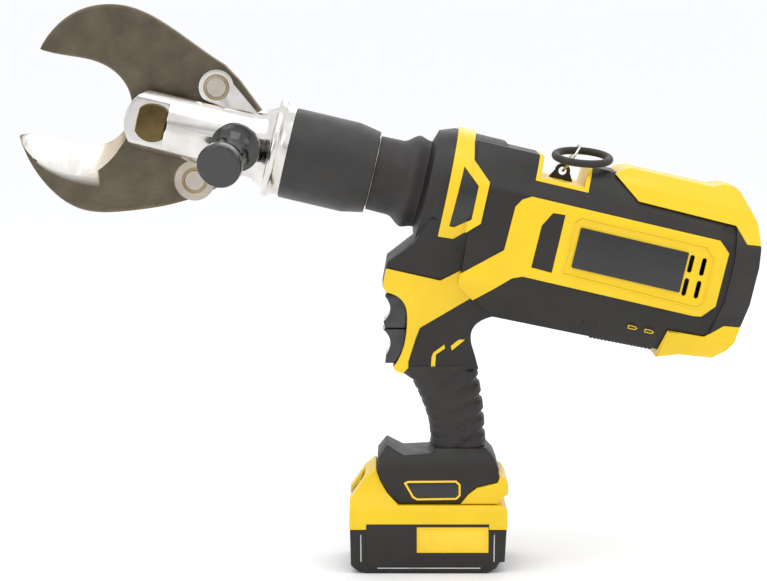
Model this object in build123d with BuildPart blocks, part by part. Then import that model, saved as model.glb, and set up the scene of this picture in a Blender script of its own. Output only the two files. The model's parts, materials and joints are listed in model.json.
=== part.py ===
"""Battery-powered rescue cutter: shear head, swivelling cylinder, pump and motor housing, grip, pack.

The tool stands on its battery. The row's frame has +X to the tail, +Z up and the left side at -Y.
Most of the tool lies along its own sloping axis. There u runs rearwards from the jaw pivot, v upwards
and n to the left side. Lengths are millimetres.
"""
from build123d import *
import math
import os

# Driving dimensions ---------------------------------------------------------------------------------
TILT = 13.2                     # the tool's axis rises this much towards the jaws, degrees
PIVOT_X, PIVOT_Z = -203.0, 334.0
GAP = 0.3                       # between faces of bodies that move past each other
FIT = 0.05                      # radial clearance of a running pin

BLADE = 12.0                    # thickness of each blade
PIN_U, PIN_V = 39.0, 35.2       # a blade's tail pin, from the pivot
LINK = 58.0                     # between a link's two eyes
YOKE_R = 25.8
SLOT_HALF = 12.3                # half the yoke's slot
ROD_R = 12.0
BORE_R = 22.0                   # the cylinder's bore
CROSS_U = PIN_U + math.sqrt(LINK**2 - PIN_V**2)

COLLAR_R = 46.0                 # the housing's round front
BODY_HALF = 46.0                # half the housing's width
WALL = 3.0
SKIN = 1.6                      # how far the yellow shells stand proud
MOTOR_V = -26.25

GRIP_HALF = 19.0
FOOT_HALF = 31.0
PACK_HALF = 37.5

os.makedirs("parts", exist_ok=True)

COS, SIN = math.cos(math.radians(TILT)), math.sin(math.radians(TILT))
ALONG = (COS, 0, -SIN)          # the tool's axis, rearwards
ABOVE = (SIN, 0, COS)


def at(u, v, n=0.0):
    """The point u behind the pivot, v above the axis and n to the left."""
    return (PIVOT_X + u * COS + v * SIN, -n, PIVOT_Z - u * SIN + v * COS)


def side(*points):
    """Points (u, v) of the tool as the X and Z of the row's side plane."""
    return [(at(u, v)[0], at(u, v)[2]) for u, v in points]


def across(u):
    """The plane square to the tool's axis at u: local X to the right side, local Y up."""
    return Plane(origin=at(u, 0), x_dir=(0, 1, 0), z_dir=ALONG)


TOOL = Plane(origin=at(0, 0), x_dir=ALONG, z_dir=(0, -1, 0))
SIDE = Plane.XZ                 # its normal is -Y, the left side
AXIS = Axis(at(0, 0), ALONG)


def save(builder, name):
    """Labels a finished piece and writes it as its own STEP file."""
    builder.part.label = name
    export_step(builder.part, f"parts/{name}.step")


# Jaws -----------------------------------------------------------------------------------------------
HUB_R = 21.0
BOLT_R = 11.0
TAIL_PIN_R = 7.8
UPPER_THROAT = [(-94.7, 32.5), (-72.0, 32.6), (-49.5, 32.8), (-34.6, 27.6), (-24.0, 17.9), (-19.5, 8.0)]
UPPER_BEVEL = [(-94.7, 32.6), (-84.0, 45.5), (-60.0, 54.5), (-40.0, 51.5), (-27.0, 38.0), (-17.0, 14.0)]
LOWER_THROAT = [(-94.2, -32.0), (-80.4, -29.1), (-50.1, -28.9), (-35.5, -26.2), (-24.0, -17.0), (-18.8, -6.7)]
LOWER_BEVEL = [(-94.2, -32.1), (-82.0, -45.1), (-60.0, -51.6), (-40.0, -49.6), (-26.5, -36.5), (-16.6, -12.0)]
BEVEL_LAND = 1.2

with BuildPart() as jaw_upper:
    with BuildSketch(TOOL):
        with BuildLine():
            Spline(*UPPER_THROAT)
            Polyline(UPPER_THROAT[-1], (0, -12), (30, 2), (62, 14), (75.2, 25.9), (54.3, 43.8))
            Line((54.3, 43.8), (40.9, 52.5))
            Spline((40.9, 52.5), (-9.4, 72.2), (-41.2, 78.1), (-72.8, 67.2), (-88.5, 49.0), UPPER_THROAT[0])
        make_face()
        Circle(HUB_R)
        Circle(BOLT_R + FIT, mode=Mode.SUBTRACT)
        with Locations((PIN_U, PIN_V)):
            Circle(TAIL_PIN_R, mode=Mode.SUBTRACT)
    extrude(amount=-BLADE)
    with BuildSketch(TOOL.offset(-BEVEL_LAND)):
        with BuildLine():
            Spline(*UPPER_THROAT)
            Polyline(UPPER_THROAT[-1], (-24, -2), (-96, 26), UPPER_THROAT[0])
        make_face()
    with BuildSketch(TOOL.offset(-BLADE - 0.1)):
        with BuildLine():
            Spline(*UPPER_BEVEL)
            Polyline(UPPER_BEVEL[-1], (-24, -2), (-96, 26), UPPER_BEVEL[0])
        make_face()
    loft(ruled=True, mode=Mode.SUBTRACT)
save(jaw_upper, "jaw_upper")

WASHER_R, WASHER_SINK = 14.8, 1.8
with BuildPart() as jaw_lower:
    with BuildSketch(TOOL.offset(0.04)):
        with BuildLine():
            Spline(*LOWER_THROAT)
            Polyline(LOWER_THROAT[-1], (0, 12), (30, -2), (60, -16), (66, -28), (53.4, -39.2))
            Spline(
                (53.4, -39.2), (24.9, -56.9), (-2.9, -68.0), (-39.3, -75.0), (-70.7, -60.7), LOWER_THROAT[0],
            )
        make_face()
        Circle(HUB_R)
        Circle(BOLT_R + FIT, mode=Mode.SUBTRACT)
        with Locations((PIN_U, -PIN_V)):
            Circle(TAIL_PIN_R, mode=Mode.SUBTRACT)
    extrude(amount=BLADE - 0.04)
    with BuildSketch(TOOL.offset(BEVEL_LAND)):
        with BuildLine():
            Spline(*LOWER_THROAT)
            Polyline(LOWER_THROAT[-1], (-24, 2), (-96, -26), LOWER_THROAT[0])
        make_face()
    with BuildSketch(TOOL.offset(BLADE + 0.1)):
        with BuildLine():
            Spline(*LOWER_BEVEL)
            Polyline(LOWER_BEVEL[-1], (-24, 2), (-96, -26), LOWER_BEVEL[0])
        make_face()
    loft(ruled=True, mode=Mode.SUBTRACT)
    with BuildSketch(TOOL.offset(BLADE)):
        with Locations((PIN_U, -PIN_V)):
            Circle(WASHER_R + 0.1)
    extrude(amount=-WASHER_SINK, mode=Mode.SUBTRACT)
save(jaw_lower, "jaw_lower")

with BuildPart() as tail_washer:
    with BuildSketch(TOOL.offset(BLADE - WASHER_SINK)):
        with Locations((PIN_U, -PIN_V)):
            Circle(WASHER_R)
            Circle(TAIL_PIN_R, mode=Mode.SUBTRACT)
    extrude(amount=WASHER_SINK - 0.4)
save(tail_washer, "tail_washer")

# Toggle links and their pins ------------------------------------------------------------------------
LINK_T = 5.7
EYE_R = 13.0
CROSS_PIN_R = 6.0
OPEN_EYE_R = CROSS_PIN_R + 2.8          # the pivot where the linkage is opened: its eye has play
for name, lift in (("upper", 1), ("lower", -1)):
    with BuildPart() as link:
        with BuildSketch(TOOL.offset(0.15 * lift)):
            with Locations((PIN_U, lift * PIN_V), (CROSS_U, 0)):
                Circle(EYE_R - 1.5)
            make_hull()
            with Locations((PIN_U, lift * PIN_V), (CROSS_U, 0)):
                Circle(EYE_R)
            with Locations((PIN_U, lift * PIN_V)):
                Circle(TAIL_PIN_R + FIT, mode=Mode.SUBTRACT)
            with Locations((CROSS_U, 0)):
                Circle(OPEN_EYE_R, mode=Mode.SUBTRACT)
        extrude(amount=lift * LINK_T)
    save(link, f"link_{name}")

for name, lift, low, high in (("upper", 1, -BLADE + 0.2, 6.6), ("lower", -1, -6.6, BLADE + 0.1)):
    with BuildPart() as tail_pin:
        with BuildSketch(TOOL.offset(low)):
            with Locations((PIN_U, lift * PIN_V)):
                Circle(TAIL_PIN_R)
        extrude(amount=high - low)
        chamfer(tail_pin.edges().filter_by(GeomType.CIRCLE), 0.6)
    save(tail_pin, f"tail_pin_{name}")

# Yoke, with its pivot bolt and nut ------------------------------------------------------------------
THROAT_END, POCKET_END = 80.0, 99.5     # the slot is open above and below, then closed in
FLARE_R, FLARE_END = 31.5, 88.0
SPIGOT_R, SPIGOT_END = 28.0, 112.0
SEAT_N = 19.5                           # floor of the flat seats for the bolt's head and nut
SEAT_BACK, SEAT_HALF = 10.0, 17.0

# The lock plunger leans down and forwards from the yoke's left cheek.
LEAN = Vector(at(-0.16, -0.30, 0.94)) - Vector(at(0, 0))
KNOB = Plane(origin=at(64.4, -1.6, 30.5), x_dir=ALONG, z_dir=LEAN)
BUSH_R, BUSH_DEEP, BUSH_FLANGE_R = 6.5, 15.5, 10.5

with BuildPart() as yoke:
    with BuildSketch(TOOL):
        with BuildLine():
            Polyline((66, YOKE_R), (-22, YOKE_R), (-22, 0), (SPIGOT_END, 0), (SPIGOT_END, SPIGOT_R))
            Polyline((SPIGOT_END, SPIGOT_R), (FLARE_END, SPIGOT_R), (FLARE_END, FLARE_R))
            Spline((FLARE_END, FLARE_R), (66, YOKE_R), tangents=((-1, -0.9), (-1, 0)))
        make_face()
    revolve(axis=AXIS)
    with BuildSketch(TOOL):
        with Locations((5, 0)):
            Circle(YOKE_R + 0.4)
        with Locations((60, 0)):
            Rectangle(110, 90)
    extrude(amount=50, both=True, mode=Mode.INTERSECT)
    with BuildSketch(TOOL):
        with Locations(((THROAT_END - 40) / 2, 0)):
            Rectangle(THROAT_END + 40, 90)
        with Locations(((THROAT_END + POCKET_END) / 2, 0)):
            Rectangle(POCKET_END - THROAT_END + 0.01, 43)
    extrude(amount=SLOT_HALF, both=True, mode=Mode.SUBTRACT)
    with BuildSketch(across(POCKET_END - 1)):
        Circle(ROD_R + FIT)
    extrude(amount=SPIGOT_END, mode=Mode.SUBTRACT)
    with BuildSketch(TOOL):
        Circle(BOLT_R + 0.02)
    extrude(amount=50, both=True, mode=Mode.SUBTRACT)
    for cheek in (TOOL.offset(SEAT_N), Plane(origin=at(0, 0, -SEAT_N), x_dir=ALONG, z_dir=(0, 1, 0))):
        with BuildSketch(cheek):
            with Locations(((SEAT_BACK - 40) / 2, 0)):
                Rectangle(SEAT_BACK + 40, 2 * SEAT_HALF)
        extrude(amount=20, mode=Mode.SUBTRACT)
    with BuildSketch(KNOB):
        Circle(BUSH_R)
    extrude(amount=-30, mode=Mode.SUBTRACT)
    with BuildSketch(KNOB.offset(-3.6)):
        Circle(BUSH_FLANGE_R)
    extrude(amount=10, mode=Mode.SUBTRACT)
save(yoke, "yoke")

with BuildPart() as pivot_bolt:
    with BuildSketch(TOOL.offset(-SEAT_N - 6)):
        Circle(BOLT_R)
    extrude(amount=2 * SEAT_N + 6)
    with BuildSketch(TOOL.offset(SEAT_N)):
        Circle(14)
        Rectangle(2 * SEAT_BACK - 0.4 + 3, 40, mode=Mode.INTERSECT, align=(Align.CENTER, Align.CENTER))
        with Locations((SEAT_BACK + 4.9, 0)):
            Rectangle(10, 40, mode=Mode.SUBTRACT)
    extrude(amount=5.2)
    chamfer(pivot_bolt.faces().sort_by(Axis.Y)[0].edges(), 0.8)
save(pivot_bolt, "pivot_bolt")

with BuildPart() as pivot_nut:
    with BuildSketch(TOOL.offset(-SEAT_N)):
        RegularPolygon(radius=14.5, side_count=6, rotation=30)
        Circle(BOLT_R + 0.02, mode=Mode.SUBTRACT)
        with Locations((SEAT_BACK + 4.9, 0)):
            Rectangle(10, 40, mode=Mode.SUBTRACT)
    extrude(amount=-5.5)
save(pivot_nut, "pivot_nut")

# Head collar, cylinder, sleeve ----------------------------------------------------------------------
HEAD_END = 101.0
SLEEVE_R, SLEEVE_TAIL_R = 33.8, 30.6
SLEEVE_TAPER, SLEEVE_END = 149.0, 166.0
BARREL_R, BARREL_TAIL_R = 31.0, 25.4
BORE_END, BARREL_END = 196.0, 206.0
SPINDLE_R, SPINDLE_END = 14.0, 236.0

with BuildPart() as head_collar:
    with BuildSketch(TOOL):
        with BuildLine():
            Polyline((FLARE_END + 0.1, SPIGOT_R + 0.1), (FLARE_END + 0.1, 35.6), (90, 37), (92.5, 37))
            Polyline((92.5, 37), (95, 34.6), (99, 33.4), (HEAD_END, 33.4), (HEAD_END, SPIGOT_R + 0.1))
            Line((HEAD_END, SPIGOT_R + 0.1), (FLARE_END + 0.1, SPIGOT_R + 0.1))
        make_face()
    revolve(axis=AXIS)
save(head_collar, "head_collar")

with BuildPart() as cylinder_barrel:
    with BuildSketch(TOOL):
        with BuildLine():
            Polyline(
                (HEAD_END + 0.1, BARREL_R), (SLEEVE_END - 4, BARREL_R), (SLEEVE_END, BARREL_TAIL_R),
                (BARREL_END, BARREL_TAIL_R), (BARREL_END, SPINDLE_R), (SPINDLE_END, SPINDLE_R),
                (SPINDLE_END, 3), (BORE_END, 3), (BORE_END, BORE_R), (SPIGOT_END + 0.1, BORE_R),
                (SPIGOT_END + 0.1, SPIGOT_R + 0.02), (HEAD_END + 0.1, SPIGOT_R + 0.02), close=True,
            )
        make_face()
    revolve(axis=AXIS)
save(cylinder_barrel, "cylinder_barrel")

with BuildPart() as barrel_sleeve:
    with BuildSketch(TOOL):
        with BuildLine():
            Polyline(
                (HEAD_END + 0.2, BARREL_R + 0.02), (HEAD_END + 0.2, SLEEVE_R), (SLEEVE_TAPER, SLEEVE_R),
                (SLEEVE_END - 0.6, SLEEVE_TAIL_R), (SLEEVE_END - 0.6, BARREL_TAIL_R + 2),
                (SLEEVE_END - 4, BARREL_R + 0.02), close=True,
            )
        make_face()
    revolve(axis=AXIS)
    fillet(barrel_sleeve.edges().filter_by(GeomType.CIRCLE).sort_by(SortBy.RADIUS)[-2:], 1.2)
save(barrel_sleeve, "barrel_sleeve")

# Ram: forked rod, cross pin, piston, seal, return spring --------------------------------------------
PISTON_U, PISTON_T = 180.0, 14.0
FORK_SLOT, SLOT_PLAY = 12.2, 3.0         # the fork's slot, and the room round the links' eyes in it
with BuildPart() as ram_rod:
    with BuildSketch(across(CROSS_U - EYE_R)):
        Circle(ROD_R)
    extrude(amount=PISTON_U + 6 - CROSS_U + EYE_R)
    chamfer(ram_rod.edges().filter_by(GeomType.CIRCLE).sort_by(Axis.X)[0], 1.5)
    with BuildSketch(TOOL):
        with Locations((CROSS_U, 0)):
            Rectangle(2 * (EYE_R + SLOT_PLAY), 40)
    extrude(amount=FORK_SLOT / 2, both=True, mode=Mode.SUBTRACT)
    with BuildSketch(TOOL):
        with Locations((CROSS_U, 0)):
            Circle(CROSS_PIN_R + 0.02)
    extrude(amount=20, both=True, mode=Mode.SUBTRACT)
save(ram_rod, "ram_rod")

with BuildPart() as cross_pin:
    with BuildSketch(TOOL):
        with Locations((CROSS_U, 0)):
            Circle(CROSS_PIN_R)
    extrude(amount=10.2, both=True)
save(cross_pin, "cross_pin")

SEAL_U = PISTON_U + 5
with BuildPart() as piston:
    with BuildSketch(TOOL):
        with BuildLine():
            Polyline(
                (PISTON_U, ROD_R + 0.02), (PISTON_U, BORE_R - FIT), (SEAL_U, BORE_R - FIT),
                (SEAL_U, BORE_R - 3), (SEAL_U + 4, BORE_R - 3), (SEAL_U + 4, BORE_R - FIT),
                (PISTON_U + PISTON_T, BORE_R - FIT), (PISTON_U + PISTON_T, 0),
                (PISTON_U + 6.1, 0), (PISTON_U + 6.1, ROD_R + 0.02), close=True,
            )
        make_face()
    revolve(axis=AXIS)
save(piston, "piston")

with BuildPart() as piston_seal:
    with BuildSketch(TOOL):
        with Locations((SEAL_U + 2, BORE_R - 1.55)):
            Rectangle(3.8, 2.8)
    revolve(axis=AXIS)
save(piston_seal, "piston_seal")

SPRING_LENGTH = PISTON_U - SPIGOT_END - 3.4
with BuildPart() as return_spring:
    with BuildLine():
        coil = Helix(pitch=SPRING_LENGTH / 7, height=SPRING_LENGTH, radius=17.2,
                     center=at(SPIGOT_END + 1.7, 0), direction=ALONG)
    with BuildSketch(Plane(origin=coil @ 0, z_dir=coil % 0)):
        Circle(1.5)
    sweep()
save(return_spring, "return_spring")

# Lock plunger ---------------------------------------------------------------------------------------
KNOB_SIDE = Plane(origin=KNOB.origin, x_dir=KNOB.x_dir, z_dir=-KNOB.y_dir)   # local Y is outwards
KNOB_AXIS = Axis(KNOB.origin, KNOB.z_dir)
STEM_R = 3.5

with BuildPart() as plunger_bushing:
    with BuildSketch(KNOB_SIDE):
        with BuildLine():
            Polyline((STEM_R + FIT, -BUSH_DEEP), (BUSH_R - 0.03, -BUSH_DEEP), (BUSH_R - 0.03, -3.5))
            Polyline((BUSH_R - 0.03, -3.5), (BUSH_FLANGE_R - 0.05, -3.5), (BUSH_FLANGE_R - 0.05, -0.4))
            Polyline((BUSH_FLANGE_R - 0.05, -0.4), (5.6, -0.4), (5.6, -12), (STEM_R + FIT, -12))
            Line((STEM_R + FIT, -12), (STEM_R + FIT, -BUSH_DEEP))
        make_face()
    revolve(axis=KNOB_AXIS)
save(plunger_bushing, "plunger_bushing")

with BuildPart() as plunger_pin:
    with BuildSketch(KNOB_SIDE):
        with BuildLine():
            Polyline((0, -BUSH_DEEP + 0.5), (STEM_R, -BUSH_DEEP + 0.5), (STEM_R, 33), (12.2, 33), (12.2, 39))
            Polyline((12.2, 39), (0, 39), (0, -BUSH_DEEP + 0.5))
        make_face()
    revolve(axis=KNOB_AXIS)
save(plunger_pin, "plunger_pin")

REAR_DISC_R, FRONT_DISC_R = 18.4, 16.5
with BuildPart() as plunger_knob:
    with BuildSketch(KNOB_SIDE):
        with BuildLine():
            Polyline((STEM_R + 0.02, 33), (STEM_R + 0.02, 0), (REAR_DISC_R - 1, 0), (REAR_DISC_R, 1))
            Line((REAR_DISC_R, 1), (REAR_DISC_R, 5))
            Spline((REAR_DISC_R, 5), (10.5, 12.5), (8.6, 22), (10.4, 33))
            Line((10.4, 33), (STEM_R + 0.02, 33))
        make_face()
    revolve(axis=KNOB_AXIS)
save(plunger_knob, "plunger_knob")

with BuildPart() as plunger_cap:
    with BuildSketch(KNOB.offset(39)):
        Circle(FRONT_DISC_R)
    extrude(amount=9)
    fillet(plunger_cap.edges(), 2.2)
save(plunger_cap, "plunger_cap")

# Forms that the housing's shells share --------------------------------------------------------------
COLLAR_START, COLLAR_END = 204.0, 262.0
BODY_TOP, BODY_END, BELLY = 42.4, 449.0, -81.0
GRIP_FOOT = 92.0                        # height at which the grip meets the foot


def housing_form(grow):
    """The housing's outside form grown by an amount, or shrunk where it is negative."""
    with BuildPart() as form:
        with BuildSketch(TOOL):
            with BuildLine():
                Polyline(
                    (236, BODY_TOP), (424, BODY_TOP), (440, 26), (BODY_END, 2), (BODY_END, -44),
                    (440, -66), (428, -75), (342, BELLY + 2), (274, BELLY), (246, -62), close=True,
                )
            make_face()
            if grow:
                offset(amount=grow, kind=Kind.INTERSECTION)
        extrude(amount=70, both=True)
        with BuildSketch(across(200)) as section:
            with BuildLine():
                Polyline((0, 60), (3, 60), (33, 36), (BODY_HALF, 12), (BODY_HALF, -58), (30, -90), (0, -90))
                mirror(about=Plane.YZ)
            make_face()
            fillet(section.vertices().filter_by(lambda corner: abs(corner.X) > 32), 12)
            if grow:
                offset(amount=grow, kind=Kind.INTERSECTION)
        extrude(amount=300, mode=Mode.INTERSECT)
        with BuildSketch(TOOL):
            with BuildLine():
                Polyline(
                    (COLLAR_START - grow, 0), (COLLAR_START - grow, 33 + grow),
                    (COLLAR_START + 3 - grow, 42 + grow), (COLLAR_START + 14, COLLAR_R + grow),
                    (COLLAR_END - 6, COLLAR_R - 0.4 + grow), (COLLAR_END + 2, 40), (COLLAR_END + 2, 0),
                    close=True,
                )
            make_face()
        revolve(axis=AXIS)
        add(grip_form(grow) if grow >= 0 else grip_hollow())
    return form.part


def grip_form(grow):
    """The neck under the collar and the grip below it, as one form."""
    with BuildPart() as form:
        with BuildSketch(SIDE):
            with BuildLine():
                Polyline(*side((300, -20), (214, -20), (207, -41)), (-30.9, 232), (-34.4, 213), (-31.0, 209))
                Spline((-31.0, 209), (-17.5, 199), (-16.2, 184), (-19.8, 164), (-26.3, 152.5))
                Line((-26.3, 152.5), (-24.6, 149.5))
                Spline((-24.6, 149.5), (-11.5, 140.5), (-6, 127), (0.6, 110), (3.1, GRIP_FOOT))
                Line((3.1, GRIP_FOOT), (43.2, GRIP_FOOT))
                Spline((43.2, GRIP_FOOT), (41.8, 120), (35.5, 157), (31.5, 178), (46, 190.4))
                Polyline((46, 190.4), *side((300, -70), (300, -20)))
            make_face()
        extrude(amount=60, both=True)
        with BuildSketch(Plane.YZ):
            with BuildLine():
                Polyline(
                    (0, 60), (GRIP_HALF, 60), (GRIP_HALF, 165), (25, 220), (40, 256), (BODY_HALF, 285),
                    (BODY_HALF, 340), (0, 340),
                )
                mirror(about=Plane.YZ)
            make_face()
            if grow:
                offset(amount=grow, kind=Kind.INTERSECTION)
        extrude(amount=400, both=True, mode=Mode.INTERSECT)
    return form.part


def grip_hollow():
    """The space inside the neck and the grip."""
    half = GRIP_HALF - WALL
    with BuildPart() as form:
        with BuildSketch(SIDE):
            with BuildLine():
                Polyline(
                    *side((290, -30), (222, -40), (214, -50)), (-26, 232), (-30, 214), (-12, 200), (-12, 182),
                    (-15, 164), (-12, 150), (4, 122), (8, GRIP_FOOT - 1), (38, GRIP_FOOT - 1), (36, 122),
                    (29, 160), (26, 182), (36, 193), *side((290, -72)), close=True,
                )
            make_face()
        extrude(amount=half, both=True)
        with BuildSketch(SIDE):
            with BuildLine():
                Polyline(*side((290, -30), (226, -42), (232, -62), (290, -72)), close=True)
            make_face()
        extrude(amount=half + 9, both=True)
    return form.part


OUTSIDE = housing_form(0)
INSIDE = housing_form(-WALL)
YELLOW = housing_form(SKIN)


def prism(points, low=-70.0, high=70.0):
    """A prism over a side outline of (X, Z) points, from low to high, counted to the left."""
    with BuildPart() as block:
        with BuildSketch(SIDE.offset(low)):
            with BuildLine():
                Polyline(*points, close=True)
            make_face()
        extrude(amount=high - low)
    return block.part


# Housing shells -------------------------------------------------------------------------------------
BOOT_HOLE_R = 26.2
TRIGGER_HALF = 11.0
TRAY_U, TRAY_END, TRAY_V = 282.0, 322.0, 24.0
VENTS = [(406.0, -2.2), (415.1, -2.4), (406.1, -19.6), (415.3, -19.5)]
VENT_W, VENT_H = 3.2, 13.0
SCREWS = side((290, -68), (345, -70), (424, -56), (428, 19)) + [(24, 104)]

with BuildPart() as housing:
    add(OUTSIDE)
    add(INSIDE, mode=Mode.SUBTRACT)
    with BuildSketch(SIDE):
        with Locations(*SCREWS):
            Circle(5)
    extrude(amount=BODY_HALF - 4, both=True)
    for low, high in ((-60, -GRIP_HALF), (GRIP_HALF, 60)):
        add(prism([(15, 96), (33, 96), (33, 112), (15, 112)], low, high), mode=Mode.SUBTRACT)
    with BuildSketch(SIDE.offset(-60)):
        with Locations(*SCREWS):
            Circle(1.6)
    extrude(amount=68, mode=Mode.SUBTRACT)
    with BuildSketch(SIDE.offset(-BODY_HALF - 1)):
        with Locations(*SCREWS[:4]):
            Circle(3.6)
    extrude(amount=7, mode=Mode.SUBTRACT)
    with BuildSketch(SIDE.offset(-GRIP_HALF - 1)):
        with Locations(SCREWS[4]):
            Circle(3.6)
    extrude(amount=4, mode=Mode.SUBTRACT)
    with BuildSketch(across(COLLAR_START - 5)):
        Circle(BOOT_HOLE_R)
    extrude(amount=12, mode=Mode.SUBTRACT)
    add(
        prism([(-60, 153.6), (-6, 153.6), (-6, 206.8), (-60, 206.8)],
              -TRIGGER_HALF - GAP, TRIGGER_HALF + GAP),
        mode=Mode.SUBTRACT,
    )
    add(prism(side((TRAY_U, TRAY_V), (TRAY_END, TRAY_V), (TRAY_END, 60), (TRAY_U, 60))), mode=Mode.SUBTRACT)
    with BuildSketch(TOOL):
        with Locations(*[(u, v - VENT_H / 2) for u, v in VENTS]):
            SlotOverall(VENT_H, VENT_W, rotation=90)
    extrude(amount=70, both=True, mode=Mode.SUBTRACT)

for name, half in (("left", Keep.TOP), ("right", Keep.BOTTOM)):
    with BuildPart() as housing_half:
        add(housing.part)
        split(bisect_by=SIDE, keep=half)
    save(housing_half, f"housing_{name}")

# Yellow side panels with their black inserts and name plates ----------------------------------------
PANEL = (
    side((275.7, 9.1), (282.0, 12.6), (423.0, 12.6), (431.4, 5.0), (431.2, -35.0), (422.8, -44.6))
    + side((417.0, -45.6), (289.0, -45.8), (281.7, -48.8), (225.9, -102.9), (224.8, -112.0), (223.5, -130.0))
    + [(-15.0, 152.0), (-19.5, 147.5), (-34, 147.0), (-45, 200), (-40, 226.4)]
    + side((191.9, -64.5), (232.2, -64.6), (236.6, -60.9), (271.2, -30.0), (271.8, 2.9))
)
INSERT = side((299.6, 4.4), (308.6, 5.0), (308.8, -38.2), (293.5, -37.7), (293.8, -6.4))
PLATE_U, PLATE_V, PLATE_W, PLATE_H = 362.3, -16.1, 81.0, 30.0
FLANK = BODY_HALF                       # the flat flank under the panel
TRAY_IN = [(316.5, 1.5), (321, 5.5), (414, 5.5), (421.5, -1.5), (421.5, -35.0), (417, -38.5), (316.5, -36.5)]

for name, sign in (("left", 1), ("right", -1)):
    with BuildPart() as side_panel:
        add(YELLOW)
        add(OUTSIDE, mode=Mode.SUBTRACT)
        add(prism(PANEL, *((1, 70) if sign > 0 else (-70, -1))), mode=Mode.INTERSECT)
        add(prism(INSERT), mode=Mode.SUBTRACT)
        tray = (FLANK + 0.8, 70) if sign > 0 else (-70, -FLANK - 0.8)
        add(prism(side(*TRAY_IN), *tray), mode=Mode.SUBTRACT)
        with BuildSketch(TOOL):
            with Locations(*[(u, v - VENT_H / 2) for u, v in VENTS]):
                SlotOverall(VENT_H, VENT_W, rotation=90)
        extrude(amount=70, both=True, mode=Mode.SUBTRACT)
    save(side_panel, f"side_panel_{name}")

with BuildPart() as panel_inserts:
    with BuildSketch(SIDE.offset(FLANK + 0.05), SIDE.offset(-FLANK - 1.25)):
        with BuildLine():
            Polyline(*INSERT, close=True)
        make_face()
        offset(amount=-0.1, kind=Kind.INTERSECTION)
    extrude(amount=1.2)
save(panel_inserts, "panel_inserts")

with BuildPart() as name_plates:
    with BuildSketch(TOOL.offset(FLANK + 0.85), TOOL.offset(-FLANK - 0.85 - 1.0)):
        with Locations((PLATE_U, PLATE_V)):
            RectangleRounded(PLATE_W, PLATE_H, 1)
    extrude(amount=1.0)
save(name_plates, "name_plates")

# Trim round the collar ------------------------------------------------------------------------------
BAND = side((219.9, 60), (233.2, 60), (233.4, 40), (235.4, 28.5), (249.8, 15.6), (250.2, -15.1),
            (233.5, -31.2), (222.3, -31.9))
WINDOW = side((229.3, 22.5), (242.5, 11.2), (243.0, -13.8), (232.2, -22.5), (228.5, -22.5))
with BuildPart() as trim_band:
    add(YELLOW)
    add(OUTSIDE, mode=Mode.SUBTRACT)
    add(prism(BAND), mode=Mode.INTERSECT)
    add(prism(WINDOW), mode=Mode.SUBTRACT)
save(trim_band, "trim_band")

# Rear caps and bumper -------------------------------------------------------------------------------
CAP_GROW = 2.2
with BuildPart() as cap_form:
    with BuildSketch(TOOL):
        with BuildLine():
            Polyline(
                (338.8, 41.8), (344.0, 46.4), (350.0, 48.3), (412.0, 48.6), (419.0, 52.0), (428.0, 52.0),
                (432.4, 49.4), (440.4, 40.0), (448.0, 30.4), (452.8, 16.2), (455.0, 0.0), (455.0, -28.0),
                (452.4, -44.5), (451.0, -57.7), (447.3, -65.0), (439.0, -73.0), (414.0, -76.5),
                (399.0, -82.5), (338.8, -84.0), close=True,
            )
        make_face()
    extrude(amount=70, both=True)
    with BuildSketch(across(300)) as section:
        with BuildLine():
            Polyline((0, 64), (3, 64), (33, 36), (BODY_HALF, 12), (BODY_HALF, -58), (30, -90), (0, -90))
            mirror(about=Plane.YZ)
        make_face()
        fillet(section.vertices().filter_by(lambda corner: abs(corner.X) > 32), 8)
        offset(amount=CAP_GROW, kind=Kind.INTERSECTION)
    extrude(amount=200, mode=Mode.INTERSECT)
    add(OUTSIDE, mode=Mode.SUBTRACT)

CAPS = {
    "rear_cap_upper": side((330, 70), (338.8, 41.4), (359.0, 26.4), (432.3, 25.3), (442.5, 14.0), (460, 16.4),
                           (460, 70)),
    "rear_cap_lower": side((398.4, -90), (398.8, -75.3), (401.4, -60.2), (428.3, -58.5), (440.2, -47.3),
                           (460, -44.5), (460, -90)),
    "rear_bumper": side((433.6, 23.8), (442.6, 13.7), (460, 16.1), (460, -44.2), (440.1, -47.0),
                        (431.5, -55.2), (437, -30), (437, 0)),
}
for name, outline in CAPS.items():
    with BuildPart() as cap:
        add(cap_form.part)
        add(prism(outline), mode=Mode.INTERSECT)
    save(cap, name)

# Lifting point: tray, eye, split ring and soft ring -------------------------------------------------
EYE_U, EYE_V = 303.0, 33.4
with BuildPart() as lug_tray:
    add(OUTSIDE)
    add(
        prism(side((TRAY_U + 0.1, TRAY_V + 0.1), (TRAY_END - 0.1, TRAY_V + 0.1), (TRAY_END - 0.1, 70),
                   (TRAY_U + 0.1, 70))),
        mode=Mode.INTERSECT,
    )
    add(
        prism(side((TRAY_U + 3.5, TRAY_V + 3), (TRAY_END - 3.5, TRAY_V + 3), (TRAY_END - 3.5, 70),
                   (TRAY_U + 3.5, 70))),
        mode=Mode.SUBTRACT,
    )
save(lug_tray, "lug_tray")

with BuildPart() as lug_eye:
    with BuildSketch(TOOL):
        with BuildLine():
            Polyline(
                (EYE_U - 9, TRAY_V + 3.1), (EYE_U + 9, TRAY_V + 3.1), (EYE_U + 5.4, EYE_V),
                (EYE_U - 5.4, EYE_V), close=True,
            )
        make_face()
        with Locations((EYE_U, EYE_V)):
            Circle(5.6)
            Circle(3.1, mode=Mode.SUBTRACT)
    extrude(amount=2.5, both=True)
save(lug_eye, "lug_eye")

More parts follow.
